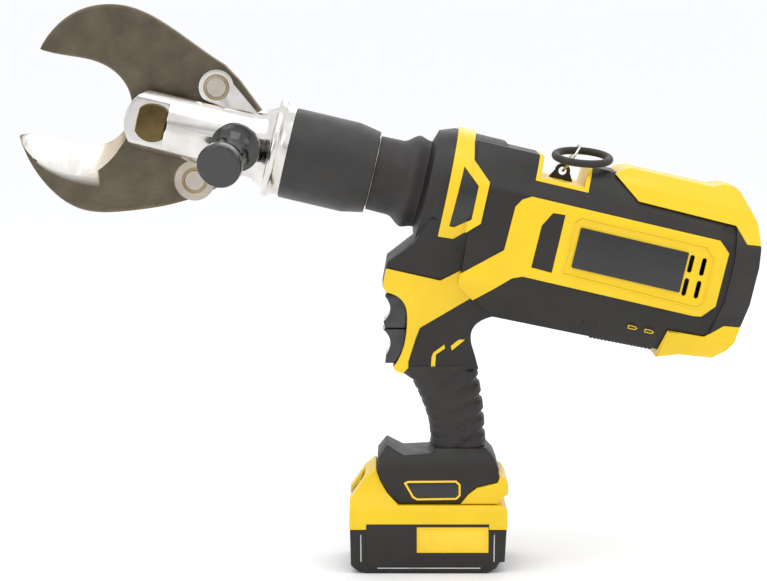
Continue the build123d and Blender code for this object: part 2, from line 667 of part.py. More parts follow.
BAIL_R, BAIL_WIRE, BAIL_LEAN = 12.0, 0.9, 21.0
lean = math.radians(BAIL_LEAN)
BAIL = Plane(
    origin=at(EYE_U + BAIL_R * math.sin(lean), EYE_V + BAIL_R * math.cos(lean)),
    x_dir=(0, -1, 0), z_dir=Vector(at(math.cos(lean), -math.sin(lean))) - Vector(at(0, 0)),
)
with BuildPart() as bail:
    with BuildSketch(Plane(origin=BAIL.origin, x_dir=BAIL.x_dir, z_dir=-BAIL.y_dir)):
        with Locations((BAIL_R, 0)):
            Circle(BAIL_WIRE)
    revolve(axis=Axis(BAIL.origin, BAIL.z_dir))
save(bail, "bail")

RING_R, RING_TUBE, RING_PITCH, RING_TIP = 20.0, 2.8, 9.0, 10.0
RING_AT = (313.6, 47.3, 15.5)
pitch, tip = math.radians(RING_PITCH), math.radians(RING_TIP)
RING_AXIS = Vector(at(-math.sin(pitch) * math.cos(tip), math.cos(pitch) * math.cos(tip), math.sin(tip)))
RING = Plane(origin=at(*RING_AT), z_dir=RING_AXIS - Vector(at(0, 0)))
with BuildPart() as lifting_ring:
    with BuildSketch(Plane(origin=RING.origin, x_dir=RING.x_dir, z_dir=-RING.y_dir)):
        with Locations((RING_R, 0)):
            Circle(RING_TUBE)
    revolve(axis=Axis(RING.origin, RING.z_dir))
save(lifting_ring, "lifting_ring")

# Neck boot ------------------------------------------------------------------------------------------
with BuildPart() as neck_boot:
    with BuildSketch(TOOL):
        with BuildLine():
            Line((SLEEVE_END + 0.4, 26.0), (SLEEVE_END + 0.4, 27.8))
            Line((SLEEVE_END + 0.4, 27.8), (183, 28.2))
            Spline((183, 28.2), (188, 30.6), (194.5, 34.6), (199, 33.4), (COLLAR_START - 0.1, 32.6))
            Polyline((COLLAR_START - 0.1, 32.6), (COLLAR_START - 0.1, 26.0), (SLEEVE_END + 0.4, 26.0))
        make_face()
    revolve(axis=AXIS)
save(neck_boot, "neck_boot")

# Triggers, their springs and the switch -------------------------------------------------------------
SWITCH_X = 4.0
TRIGGERS = {
    "upper": ((206.2, 180.9), [(-32.6, 204.5), (-28.6, 194), (-33.6, 185.5)], 194.0),
    "lower": ((180.1, 154.2), [(-34.4, 180.1), (-28.6, 171), (-31.6, 160.5)], 168.0),
}
for name, ((top, bottom), face, spring_z) in TRIGGERS.items():
    with BuildPart() as trigger:
        with BuildSketch(SIDE):
            with BuildLine():
                Polyline((-11, bottom), (-11, top), (-31.4, top), face[0])
                Spline(*face)
                Polyline(face[2], (-32.4, bottom), (-11, bottom))
            make_face()
        extrude(amount=TRIGGER_HALF, both=True)
        with BuildSketch(SIDE):
            with Locations((-8, spring_z)):
                Rectangle(8, 4)
        extrude(amount=2, both=True)
    save(trigger, f"trigger_{name}")

    with BuildPart() as trigger_spring:
        with BuildLine():
            wire = Helix(pitch=3.4, height=SWITCH_X + 9.4, radius=3.6, center=(-10.2, 0, spring_z),
                         direction=(1, 0, 0))
        with BuildSketch(Plane(origin=wire @ 0, z_dir=wire % 0)):
            Circle(0.6)
        sweep()
    save(trigger_spring, f"trigger_spring_{name}")

with BuildPart() as switch_module:
    add(prism([(SWITCH_X, 158), (21, 158), (21, 204), (SWITCH_X, 204)], -9, 9))
save(switch_module, "switch_module")

# Foot and its yellow sole ---------------------------------------------------------------------------
with BuildPart() as foot:
    add(
        prism([(-18.4, 87), (-30.9, 94.4), (-37.6, 84.8), (-38, 77.5), (-35.2, 69.0), (-30.0, 60.0),
               (-21.6, 51.4), (23.1, 51.4), (29.0, 58.9), (35.7, 64.1), (51.2, 67.9), (52.3, 77.0),
               (49.4, 84.5), (43.2, GRIP_FOOT), (3.1, GRIP_FOOT), (1.8, 88.2)], -FOOT_HALF, FOOT_HALF)
    )
    with BuildSketch(Plane.YZ):
        with BuildLine():
            Polyline(
                (0, 40), (FOOT_HALF, 40), (FOOT_HALF, 76), (26, 86), (20, GRIP_FOOT + 2.5),
                (0, GRIP_FOOT + 2.5),
            )
            mirror(about=Plane.YZ)
        make_face()
    extrude(amount=80, both=True, mode=Mode.INTERSECT)
    fillet(foot.edges().filter_by(Axis.Y).group_by(Axis.Z)[-1], 1.0)
save(foot, "foot")

with BuildPart() as foot_sole:
    add(
        prism([(23.7, 51.4), (29.5, 58.5), (36.0, 63.6), (51.6, 67.4), (52.6, 71.5), (56.0, 71.5),
               (59.2, 66.5), (59.2, 59.0), (54.8, 55.6), (52.0, 51.4)], -FOOT_HALF - 1, FOOT_HALF + 1)
    )
    fillet(foot_sole.edges().filter_by(Axis.Z), 0.8)
save(foot_sole, "foot_sole")

# Battery pack ---------------------------------------------------------------------------------------
PACK_SPLIT = 33.0                       # height where the pack's yellow top meets its black base
PACK_FRONT, PACK_REAR = -59.0, 58.5
DECK = 50.8
with BuildPart() as pack_top:
    with BuildSketch(SIDE):
        with BuildLine():
            Polyline(
                (PACK_FRONT, PACK_SPLIT), (-58.6, 54.4), (-47.4, 70.6), (-39.2, 77.2), (-38.6, 76.4),
                (-35.8, 68.6), (-30.6, 59.6), (-22.4, DECK), (54.5, DECK), (PACK_REAR, 47.5),
                (PACK_REAR, PACK_SPLIT), close=True,
            )
        make_face()
    extrude(amount=PACK_HALF, both=True)
    with BuildSketch(Plane.YZ):
        with BuildLine():
            Polyline((0, 20), (PACK_HALF, 20), (PACK_HALF, 45), (34.4, DECK), (30, 60), (28, 80), (0, 80))
            mirror(about=Plane.YZ)
        make_face()
    extrude(amount=80, both=True, mode=Mode.INTERSECT)
    add(prism([(-70, 0), (70, 0), (70, PACK_SPLIT), (-70, PACK_SPLIT)]), mode=Mode.SUBTRACT)
    add(prism([(-54, 20), (54, 20), (54, DECK - 4), (-54, DECK - 4)], -PACK_HALF + 4, PACK_HALF - 4),
        mode=Mode.SUBTRACT)
    add(prism([(-70, 44), (-47, 44), (-47, 90), (-70, 90)], -15.2, 15.2), mode=Mode.SUBTRACT)
save(pack_top, "pack_top")

with BuildPart() as pack_base:
    with BuildSketch(SIDE):
        with BuildLine():
            Polyline((PACK_FRONT + 0.5, PACK_SPLIT - 0.05), (PACK_FRONT + 1.2, 6), (-52.4, 1.4), (-47, 0))
            Polyline(
                (-47, 0), (43.5, 0), (49.7, 3.2), (53, 8.4), (56.6, 8.4),
                (PACK_REAR - 0.5, PACK_SPLIT - 0.05),
            )
            Line((PACK_REAR - 0.5, PACK_SPLIT - 0.05), (PACK_FRONT + 0.5, PACK_SPLIT - 0.05))
        make_face()
    extrude(amount=PACK_HALF - 0.6, both=True)

    add(prism([(-54, 4), (48, 4), (54, 12), (54, 60), (-54, 60)], -PACK_HALF + 4, PACK_HALF - 4),
        mode=Mode.SUBTRACT)
save(pack_base, "pack_base")

CELL_R, CELL_LENGTH = 9.0, 65.0
with BuildPart() as battery_cells:
    with BuildSketch(SIDE.offset(-CELL_LENGTH / 2)):
        for row in range(2):
            with GridLocations(20.0, 1, 5, 1):
                with Locations((0, 15.5 + row * 18.6)):
                    Circle(CELL_R)
    extrude(amount=CELL_LENGTH)
save(battery_cells, "battery_cells")

LATCH_HALF, LATCH_FOOT = 15.0, 47.0     # the latch can be pressed down until it meets its pocket's floor
with BuildPart() as pack_latch:
    add(
        prism([(-47.3, LATCH_FOOT), (-47.3, 62), (-55.6, 55.5), (-58.4, 51), (-58.4, LATCH_FOOT)],
              -LATCH_HALF, LATCH_HALF)
    )
    fillet(pack_latch.edges().filter_by(Axis.Y).sort_by(Axis.X)[:3], 1.0)
save(pack_latch, "pack_latch")

# Pump, gear reduction and motor ---------------------------------------------------------------------
PUMP_START, PUMP_END, PUMP_R = 211.0, 262.5, 40.0
CAM_START, CAM_R, CAM_THROW = 250.0, 10.0, 2.0
SHAFT_R = 6.0
PLUNGER_R = 5.0
MODULE, GEAR_TEETH, PINION_TEETH = 1.25, 30, 12
CASE_START, CASE_END, CASE_R = 264.0, 298.0, 23.6
MOTOR_R, ROTOR_SHAFT_R = 28.0, 3.0
GEAR_START, GEAR_END = 277.0, 285.0

with BuildPart() as pump_block:
    with BuildSketch(across(PUMP_START)):
        Circle(PUMP_R)
        Circle(SPINDLE_R + FIT, mode=Mode.SUBTRACT)
    extrude(amount=SPINDLE_END + 2 - PUMP_START)
    chamfer(pump_block.edges().filter_by(GeomType.CIRCLE).sort_by(SortBy.RADIUS)[-2:].sort_by(Axis.X)[0], 5)
    with BuildSketch(across(SPINDLE_END + 2)):
        Circle(PUMP_R)
    extrude(amount=CAM_START - 4 - SPINDLE_END)
    with BuildSketch(across(CAM_START - 2)):
        Circle(PUMP_R)
        Circle(20, mode=Mode.SUBTRACT)
    extrude(amount=PUMP_END - CAM_START + 2)
    with BuildSketch(Plane(origin=at(CAM_START + 4.5, 0), x_dir=ALONG, z_dir=ABOVE)):
        Circle(PLUNGER_R + FIT)
    extrude(amount=PUMP_R - 5, mode=Mode.SUBTRACT)
save(pump_block, "pump_block")

with BuildPart() as pump_plunger:
    with BuildSketch(Plane(origin=at(CAM_START + 4.5, CAM_R + CAM_THROW + 0.4), x_dir=ALONG, z_dir=ABOVE)):
        Circle(PLUNGER_R)
    extrude(amount=16)
save(pump_plunger, "pump_plunger")

with BuildPart() as cam_shaft:
    with BuildSketch(across(CAM_START - 1)):
        Circle(SHAFT_R)
    extrude(amount=CASE_END - 2 - CAM_START + 1)
    with BuildSketch(across(CAM_START)):
        with Locations((0, CAM_THROW)):
            Circle(CAM_R)
    extrude(amount=9)
save(cam_shaft, "cam_shaft")


def toothed(teeth, phase):
    """Adds a gear's outline to the pending sketch, its first tooth turned by phase degrees."""
    pitch_r = MODULE * teeth / 2
    Circle(pitch_r - 1.5)
    with PolarLocations(pitch_r - 0.2, teeth, start_angle=phase):
        Trapezoid(2.0, 2.6, 78, rotation=-90)


with BuildPart() as reduction_gear:
    with BuildSketch(across(GEAR_START)):
        toothed(GEAR_TEETH, 0)
        Circle(SHAFT_R, mode=Mode.SUBTRACT)
    extrude(amount=GEAR_END - GEAR_START)
save(reduction_gear, "reduction_gear")

with BuildPart() as motor_pinion:
    with BuildSketch(Plane(origin=at(GEAR_START - 1, MOTOR_V), x_dir=(0, 1, 0), z_dir=ALONG)):
        toothed(PINION_TEETH, 0)
        Circle(ROTOR_SHAFT_R, mode=Mode.SUBTRACT)
    extrude(amount=GEAR_END - GEAR_START + 2)
save(motor_pinion, "motor_pinion")

with BuildPart() as gearbox_case:
    with BuildSketch(across(CASE_START)):
        Circle(CASE_R)
        with Locations((0, MOTOR_V)):
            Circle(MOTOR_R)
        make_hull()
    extrude(amount=CASE_END - CASE_START)
    with BuildSketch(across(CASE_START + 4)):
        Circle(CASE_R - 2.8)
        with Locations((0, MOTOR_V)):
            Circle(14)
        make_hull()
    extrude(amount=CASE_END - CASE_START - 8, mode=Mode.SUBTRACT)
    with BuildSketch(across(CASE_START - 1)):
        Circle(SHAFT_R + FIT)
    extrude(amount=CASE_END - CASE_START - 0.4, mode=Mode.SUBTRACT)
    with BuildSketch(across(CASE_START + 20)):
        with Locations((0, MOTOR_V)):
            Circle(5)
    extrude(amount=30, mode=Mode.SUBTRACT)
save(gearbox_case, "gearbox_case")

MOTOR_START, MOTOR_END = 298.5, 368.0
with BuildPart() as motor_can:
    with BuildSketch(across(MOTOR_START)):
        with Locations((0, MOTOR_V)):
            Circle(MOTOR_R)
    extrude(amount=MOTOR_END - MOTOR_START)
    with BuildSketch(across(MOTOR_START + 3)):
        with Locations((0, MOTOR_V)):
            Circle(MOTOR_R - 3)
    extrude(amount=MOTOR_END - MOTOR_START - 6, mode=Mode.SUBTRACT)
    with BuildSketch(across(MOTOR_START - 1)):
        with Locations((0, MOTOR_V)):
            Circle(ROTOR_SHAFT_R + FIT)
    extrude(amount=MOTOR_END - MOTOR_START + 2, mode=Mode.SUBTRACT)
save(motor_can, "motor_can")

with BuildPart() as motor_rotor:
    shaft, core, commutator = (GEAR_START - 2, MOTOR_END + 12, ROTOR_SHAFT_R), (308, 352, 24), (355, 363, 10)
    for start, end, radius in (shaft, core, commutator):
        with BuildSketch(across(start)):
            with Locations((0, MOTOR_V)):
                Circle(radius)
        extrude(amount=end - start)
save(motor_rotor, "motor_rotor")

with BuildPart() as motor_fan:
    with BuildSketch(across(MOTOR_END + 2)):
        with Locations((0, MOTOR_V)):
            Circle(24)
            Circle(ROTOR_SHAFT_R, mode=Mode.SUBTRACT)
    extrude(amount=1.5)
    with BuildSketch(across(MOTOR_END + 3.5)):
        with Locations((0, MOTOR_V)):
            with PolarLocations(16, 9):
                Rectangle(14, 1.4)
    extrude(amount=6.5)
save(motor_fan, "motor_fan")

with BuildPart() as oil_bladder:
    with BuildSketch(across(330)):
        with Locations((0, 19)):
            RectangleRounded(46, 26, 6)
    extrude(amount=60)
save(oil_bladder, "oil_bladder")

with BuildPart() as control_board:
    with BuildSketch(across(398)):
        with Locations((0, -20)):
            Rectangle(56, 66)
    extrude(amount=2)
    with BuildSketch(across(400)):
        with Locations((0, -20)):
            with GridLocations(7, 1, 6, 1):
                Rectangle(2.5, 44)
    extrude(amount=12)
save(control_board, "control_board")

with BuildPart() as housing_screws:
    with BuildSketch(SIDE.offset(-BODY_HALF + 3.8)):
        with Locations(*SCREWS[:4]):
            Circle(1.5)
    extrude(amount=40)
    with BuildSketch(SIDE.offset(-BODY_HALF + 2.2)):
        with Locations(*SCREWS[:4]):
            Circle(3.4)
    extrude(amount=2)
    with BuildSketch(SIDE.offset(-GRIP_HALF + 1.2)):
        with Locations(SCREWS[4]):
            Circle(3.4)
    extrude(amount=1.6)
    with BuildSketch(SIDE.offset(-GRIP_HALF + 2.6)):
        with Locations(SCREWS[4]):
            Circle(1.5)
    extrude(amount=20)
save(housing_screws, "housing_screws")
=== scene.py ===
# %% [markdown]
# # A battery-powered rescue cutter
# The tool has a shear head, a swivelling hydraulic cylinder, a motor housing, a pistol grip and a
# slide-on battery. Its moving pieces come from the CAD model, which is loaded as a fixed frame. This
# lesson gives each piece its finish, rounds the moulded edges and adds the ribs, rims and blank plates.

# %% Load the frame
import bmesh
import bpy
import json
import math
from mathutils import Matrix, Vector


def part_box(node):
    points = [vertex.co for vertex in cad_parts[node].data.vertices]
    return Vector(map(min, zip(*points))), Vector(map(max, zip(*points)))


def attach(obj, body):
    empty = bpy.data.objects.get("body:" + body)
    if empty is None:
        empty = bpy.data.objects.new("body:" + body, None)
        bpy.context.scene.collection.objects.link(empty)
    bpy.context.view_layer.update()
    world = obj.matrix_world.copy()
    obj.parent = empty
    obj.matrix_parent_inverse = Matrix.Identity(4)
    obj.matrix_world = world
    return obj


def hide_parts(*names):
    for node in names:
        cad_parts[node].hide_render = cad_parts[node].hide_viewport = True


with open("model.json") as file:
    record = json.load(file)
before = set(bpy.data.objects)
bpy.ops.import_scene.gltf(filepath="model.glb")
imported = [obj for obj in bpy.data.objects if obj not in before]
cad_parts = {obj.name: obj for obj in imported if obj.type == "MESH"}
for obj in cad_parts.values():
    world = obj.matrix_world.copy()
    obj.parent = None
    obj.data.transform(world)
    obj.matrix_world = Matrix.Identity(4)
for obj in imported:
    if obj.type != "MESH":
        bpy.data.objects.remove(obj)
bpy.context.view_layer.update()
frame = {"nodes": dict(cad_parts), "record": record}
record = frame["record"]
body_of_node = {node: body for body, nodes in record["behaviour"]["bodies"].items() for node in nodes}

# %% [markdown]
# ## Two ways to say where things are
# The grip, foot and battery stand upright, so their places are plain X and Z. The head and housing lie
# along the tool's sloping axis, so there it is easier to say u, the distance behind the jaw pivot, and v,
# the height above the axis. The swivel joint in the record gives the pivot and the direction.

# %% Places along the sloping axis
MM = 0.001
swivel = next(j for j in record["behaviour"]["joints"] if j["name"] == "head_swivel")
PIVOT = Vector(swivel["pos_m"])
BACK = Vector(swivel["axis"]).normalized()
UP = Vector((-BACK.z, 0, BACK.x))
SLOPE = math.atan2(-BACK.z, BACK.x)


def on_tool(u, v, y=0.0):
    """The place u behind the pivot and v above the axis, at width y, all given in millimetres."""
    return PIVOT + BACK * (u * MM) + UP * (v * MM) + Vector((0, y * MM, 0))


def upright(x, z, y=0.0):
    """The place x, z in the tool's standing frame, at width y, in millimetres."""
    return Vector((x * MM, y * MM, z * MM))


print("slope in degrees", round(math.degrees(SLOPE), 2))

# %% [markdown]
# ## Finishes
# Moulded nylon is never one flat colour: the mould is spark-eroded, so it has a fine pebble, and its gloss
# wanders a little. Ground steel has lines that run one way. Both are noise on Object coordinates: round
# noise for the pebble, and noise stretched along the tool's axis for grinding lines.

# %% A maker for finishes
def new_finish(name, colour, rough, metal=0.0, coat=0.0, sheen=0.0):
    """A material with a plain principled shader."""
    finish = bpy.data.materials.new(name)
    finish.use_nodes = True
    shader = finish.node_tree.nodes["Principled BSDF"]
    shader.inputs["Base Color"].default_value = (*colour, 1)
    shader.inputs["Roughness"].default_value = rough
    shader.inputs["Metallic"].default_value = metal
    shader.inputs["Coat Weight"].default_value = coat
    shader.inputs["Coat Roughness"].default_value = 0.2
    shader.inputs["Sheen Weight"].default_value = sheen
    return finish


def noise_on(finish, size_mm, stretch=(1, 1, 1), detail=3.0):
    """Noise with features of a given size; a stretch below 1 draws it out along that axis."""
    nodes, links = finish.node_tree.nodes, finish.node_tree.links
    coords = nodes.new("ShaderNodeTexCoord")
    turn = nodes.new("ShaderNodeMapping")
    turn.inputs["Rotation"].default_value = (0, -SLOPE, 0)
    turn.inputs["Scale"].default_value = stretch
    noise = nodes.new("ShaderNodeTexNoise")
    noise.inputs["Scale"].default_value = 1000.0 / size_mm
    noise.inputs["Detail"].default_value = detail
    links.new(coords.outputs["Object"], turn.inputs["Vector"])
    links.new(turn.outputs["Vector"], noise.inputs["Vector"])
    return noise.outputs["Fac"]


def spread(finish, value, low, high, at=(0.3, 0.7)):
    """Maps a noise value onto a range."""
    node = finish.node_tree.nodes.new("ShaderNodeMapRange")
    node.inputs["From Min"].default_value, node.inputs["From Max"].default_value = at
    node.inputs["To Min"].default_value, node.inputs["To Max"].default_value = low, high
    finish.node_tree.links.new(value, node.inputs["Value"])
    return node.outputs["Result"]


def tint(finish, value, dark, light):
    """Sets the base colour to a blend of two colours."""
    nodes, links = finish.node_tree.nodes, finish.node_tree.links
    mix = nodes.new("ShaderNodeMix")
    mix.data_type = "RGBA"
    mix.inputs["A"].default_value, mix.inputs["B"].default_value = (*dark, 1), (*light, 1)
    links.new(value, mix.inputs["Factor"])
    links.new(mix.outputs["Result"], nodes["Principled BSDF"].inputs["Base Color"])


def gloss(finish, value):
    """Drives the roughness with a value."""
    finish.node_tree.links.new(value, finish.node_tree.nodes["Principled BSDF"].inputs["Roughness"])


def relief(finish, value, depth_mm, strength=0.5, then=None):
    """Turns a value into small bumps, on top of an earlier relief if one is given."""
    nodes, links = finish.node_tree.nodes, finish.node_tree.links
    bump = nodes.new("ShaderNodeBump")
    bump.inputs["Strength"].default_value = strength
    bump.inputs["Distance"].default_value = depth_mm * MM
    links.new(value, bump.inputs["Height"])
    if then:
        links.new(then, bump.inputs["Normal"])
    links.new(bump.outputs["Normal"], nodes["Principled BSDF"].inputs["Normal"])
    return bump.outputs["Normal"]


print("finish makers ready")

# %% Moulded finishes
def moulded(name, dark, light, rough, pebble_mm, depth_mm, coat=0.0, sheen=0.0):
    """Pebbled plastic or rubber, with slow drift in its colour and gloss."""
    finish = new_finish(name, light, rough, coat=coat, sheen=sheen)
    drift = noise_on(finish, 35)
    tint(finish, spread(finish, drift, 0, 1), dark, light)
    gloss(finish, spread(finish, noise_on(finish, 9), rough - 0.05, rough + 0.06))
    pebble = relief(finish, noise_on(finish, pebble_mm, detail=2), depth_mm)
    relief(finish, noise_on(finish, 60, detail=1), 0.25, 0.3, then=pebble)
    return finish


yellow_nylon = moulded("yellow_nylon", (0.79, 0.52, 0.0), (0.85, 0.57, 0.0), 0.36, 0.7, 0.03, coat=0.1)
black_nylon = moulded("black_nylon", (0.007, 0.0055, 0.004), (0.011, 0.0088, 0.0065), 0.5, 0.6, 0.05)
black_rubber = moulded("black_rubber", (0.013, 0.011, 0.0095), (0.023, 0.0195, 0.017), 0.66, 0.9, 0.07,
                       sheen=0.1)
sleeve_rubber = moulded("sleeve_rubber", (0.014, 0.0125, 0.011), (0.024, 0.0215, 0.019), 0.55, 1.4, 0.05,
                        sheen=0.15)
gloss_black = moulded("gloss_black", (0.008, 0.008, 0.008), (0.014, 0.013, 0.012), 0.14, 6, 0.02, coat=0.6)
label_film = moulded("label_film", (0.007, 0.007, 0.007), (0.012, 0.012, 0.012), 0.3, 2, 0.006, coat=0.3)
label_yellow = moulded("label_yellow", (0.88, 0.55, 0.01), (0.95, 0.62, 0.02), 0.3, 2, 0.006, coat=0.3)
board_green = moulded("board_green", (0.01, 0.06, 0.03), (0.02, 0.10, 0.05), 0.4, 2, 0.02)
cell_sleeve = moulded("cell_sleeve", (0.05, 0.12, 0.2), (0.07, 0.17, 0.27), 0.35, 3, 0.01)
seal_rubber = moulded("seal_rubber", (0.01, 0.01, 0.01), (0.02, 0.02, 0.02), 0.5, 2, 0.02)
print("moulded finishes", len(bpy.data.materials))

# %% [markdown]
# ## Steel
# The blades are ground and then darken to a warm grey-brown, with fine scratches along their length and
# a polished cutting bevel. The bevel is the part of a blade whose surface leans away from the flat faces,
# so the shader can find it from the surface's own direction. Turned and plated pieces are brighter.

# %% Metal finishes
def metal(name, dark, light, rough, line_mm=0.5, stretch=(0.03, 1, 1), depth_mm=0.02):
    """Metal with machining lines drawn out along the tool's axis."""
    finish = new_finish(name, light, rough, metal=1.0)
    tint(finish, spread(finish, noise_on(finish, 18, detail=4), 0, 1), dark, light)
    lines = noise_on(finish, line_mm, stretch, detail=4)
    gloss(finish, spread(finish, lines, max(rough - 0.08, 0.05), rough + 0.1))
    relief(finish, lines, depth_mm, 0.35)
    return finish


blade_steel = metal("blade_steel", (0.10, 0.083, 0.060), (0.15, 0.125, 0.09), 0.45, 0.9, (0.06, 1, 0.5), 0.03)
bright_steel = metal("bright_steel", (0.62, 0.59, 0.55), (0.78, 0.76, 0.73), 0.16, 0.5, (1, 0.04, 0.04),
                     0.006)
plain_steel = metal("plain_steel", (0.42, 0.37, 0.31), (0.56, 0.50, 0.43), 0.3)
bronzed_steel = metal("bronzed_steel", (0.07, 0.05, 0.02), (0.16, 0.115, 0.045), 0.34, 1.2, (1, 1, 1), 0.02)
gold_steel = metal("gold_steel", (0.25, 0.18, 0.07), (0.4, 0.3, 0.13), 0.3, 1.2, (1, 1, 1), 0.02)
spring_wire = metal("spring_wire", (0.5, 0.5, 0.5), (0.75, 0.75, 0.74), 0.2)
cast_iron = metal("cast_iron", (0.10, 0.10, 0.105), (0.18, 0.18, 0.185), 0.5, 1.5, (1, 1, 1), 0.08)
cast_aluminium = metal("cast_aluminium", (0.48, 0.48, 0.49), (0.62, 0.62, 0.63), 0.45, 1.5, (1, 1, 1), 0.08)
motor_plate = metal("motor_plate", (0.25, 0.25, 0.26), (0.38, 0.38, 0.39), 0.35)
print("metal finishes ready")

# %% The polished bevel on the blades
def polish_bevel(finish, polish, throat):
    """Brightens and smooths whatever leans away from the blade's flat faces."""
    nodes, links = finish.node_tree.nodes, finish.node_tree.links
    shader = nodes["Principled BSDF"]
    coords = nodes.new("ShaderNodeTexCoord")
    split = nodes.new("ShaderNodeSeparateXYZ")
    links.new(coords.outputs["Normal"], split.inputs["Vector"])
    flat = nodes.new("ShaderNodeMath")
    flat.operation = "ABSOLUTE"
    links.new(split.outputs["Y"], flat.inputs[0])
    lean = spread(finish, flat.outputs["Value"], 1, 0, at=(0.975, 0.992))
    side_on = spread(finish, flat.outputs["Value"], 0, 1, at=(0.2, 0.5))
    bevel = nodes.new("ShaderNodeMath")
    bevel.operation = "MULTIPLY"
    links.new(lean, bevel.inputs[0])
    links.new(side_on, bevel.inputs[1])
    old_colour = shader.inputs["Base Color"].links[0].from_socket
    old_rough = shader.inputs["Roughness"].links[0].from_socket
    place = nodes.new("ShaderNodeSeparateXYZ")
    links.new(coords.outputs["Object"], place.inputs["Vector"])
    warm = nodes.new("ShaderNodeMix")
    warm.data_type = "RGBA"
    warm.inputs["A"].default_value, warm.inputs["B"].default_value = (*polish, 1), (*throat, 1)
    near_pivot = spread(finish, place.outputs["X"], 0, 1, at=(PIVOT.x - 0.055, PIVOT.x - 0.02))
    links.new(near_pivot, warm.inputs["Factor"])
    colour = nodes.new("ShaderNodeMix")
    colour.data_type = "RGBA"
    links.new(bevel.outputs["Value"], colour.inputs["Factor"])
    links.new(old_colour, colour.inputs["A"])
    links.new(warm.outputs["Result"], colour.inputs["B"])
    links.new(colour.outputs["Result"], shader.inputs["Base Color"])
    rough = nodes.new("ShaderNodeMix")
    links.new(bevel.outputs["Value"], rough.inputs["Factor"])
    links.new(old_rough, rough.inputs["A"])
    rough.inputs["B"].default_value = 0.24
    links.new(rough.outputs["Result"], shader.inputs["Roughness"])


polish_bevel(blade_steel, (0.85, 0.82, 0.76), (0.55, 0.42, 0.26))
print("bevel polished")

# %% [markdown]
# ## Which piece has which finish
# Every piece of the frame gets a finish, the hidden ones too, because the model can be opened.

# %% Finishes by node
FINISHES = {
    yellow_nylon: "side_panel_left side_panel_right rear_cap_upper rear_cap_lower foot_sole pack_top "
                  "lug_tray trim_band",
    black_nylon: "housing_left housing_right foot pack_base panel_inserts switch_module lug_eye",
    black_rubber: "rear_bumper lifting_ring neck_boot",
    sleeve_rubber: "barrel_sleeve",
    gloss_black: "trigger_upper trigger_lower pack_latch plunger_knob plunger_cap motor_fan",
    label_film: "name_plates",
    blade_steel: "jaw_upper jaw_lower",
    bright_steel: "yoke head_collar plunger_bushing link_upper link_lower",
    plain_steel: "tail_washer tail_pin_upper tail_pin_lower cylinder_barrel ram_rod cross_pin piston "
                 "plunger_pin cam_shaft reduction_gear motor_pinion pump_plunger housing_screws",
    bronzed_steel: "pivot_bolt pivot_nut",
    spring_wire: "return_spring trigger_spring_upper trigger_spring_lower bail",
    cast_iron: "pump_block",
    cast_aluminium: "gearbox_case",
    motor_plate: "motor_can motor_rotor",
    cell_sleeve: "battery_cells",
    seal_rubber: "piston_seal oil_bladder",
    board_green: "control_board",
}
finish_of_node = {node: finish for finish, nodes in FINISHES.items() for node in nodes.split()}
for node, thing in frame["nodes"].items():
    thing.data.materials.clear()
    thing.data.materials.append(finish_of_node[node])
print("without a finish:", set(frame["nodes"]) - set(finish_of_node))

# %% [markdown]
# ## Rounded edges
# A moulded or machined edge is never razor sharp, and its small round catches a line of light. A copy of
# the CAD mesh is merged, its flat regions are joined into single faces, and every sharp edge gets a
# narrow bevel. The copy then stands for the node. If a bevel would change the piece's volume by more
# than a little, a narrower one is tried, and if none will do the copy is kept unbevelled, so a piece can
# never be spoiled by its own edges.

# %% Soften a node
def as_piece(mesh_edit, name, finish, node=None, body=None):
    """Turns a bmesh into a finished piece that rides on its body."""
    data = bpy.data.meshes.new(name)
    mesh_edit.to_mesh(data)
    mesh_edit.free()
    data.validate()
    piece = bpy.data.objects.new(name, data)
    bpy.context.scene.collection.objects.link(piece)
    data.materials.append(finish)
    if node:
        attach(piece, body_of_node[node])
        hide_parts(node)
    elif body:
        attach(piece, body)
    return piece


def crease(mesh_edit, degrees=32):
    """Shades a mesh smooth, except across edges sharper than an angle."""
    for face in mesh_edit.faces:
        face.smooth = True
    for edge in mesh_edit.edges:
        edge.smooth = len(edge.link_faces) == 2 and edge.calc_face_angle(0) < math.radians(degrees)


def merged_copy(node):
    """The node's mesh as a bmesh, with its loose triangles joined up."""
    work = bmesh.new()
    work.from_mesh(frame["nodes"][node].data)
    bmesh.ops.remove_doubles(work, verts=work.verts, dist=2e-6)
    bmesh.ops.dissolve_degenerate(work, edges=work.edges, dist=5e-6)
    return work


def bevelled(work, width_mm, segments, sharp=34):
    """Bevels the sharp edges of a merged copy."""
    bmesh.ops.dissolve_limit(work, angle_limit=math.radians(0.6), verts=work.verts, edges=work.edges)
    edges = [e for e in work.edges if len(e.link_faces) == 2 and e.calc_face_angle(0) > math.radians(sharp)]
    bmesh.ops.bevel(work, geom=edges, offset=width_mm * MM, offset_type="OFFSET", segments=segments,
                    profile=0.6, affect="EDGES", clamp_overlap=False)
    bmesh.ops.triangulate(work, faces=[f for f in work.faces if len(f.verts) > 4])


def cut_below(work, height_mm):
    """Removes everything under a height and closes what the cut opens."""
    whole = work.verts[:] + work.edges[:] + work.faces[:]
    cut = bmesh.ops.bisect_plane(work, geom=whole, plane_co=(0, 0, height_mm * MM), plane_no=(0, 0, 1),
                                 clear_inner=True)
    rim = [e for e in cut["geom_cut"] if isinstance(e, bmesh.types.BMEdge)]
    bmesh.ops.contextual_create(work, geom=rim)


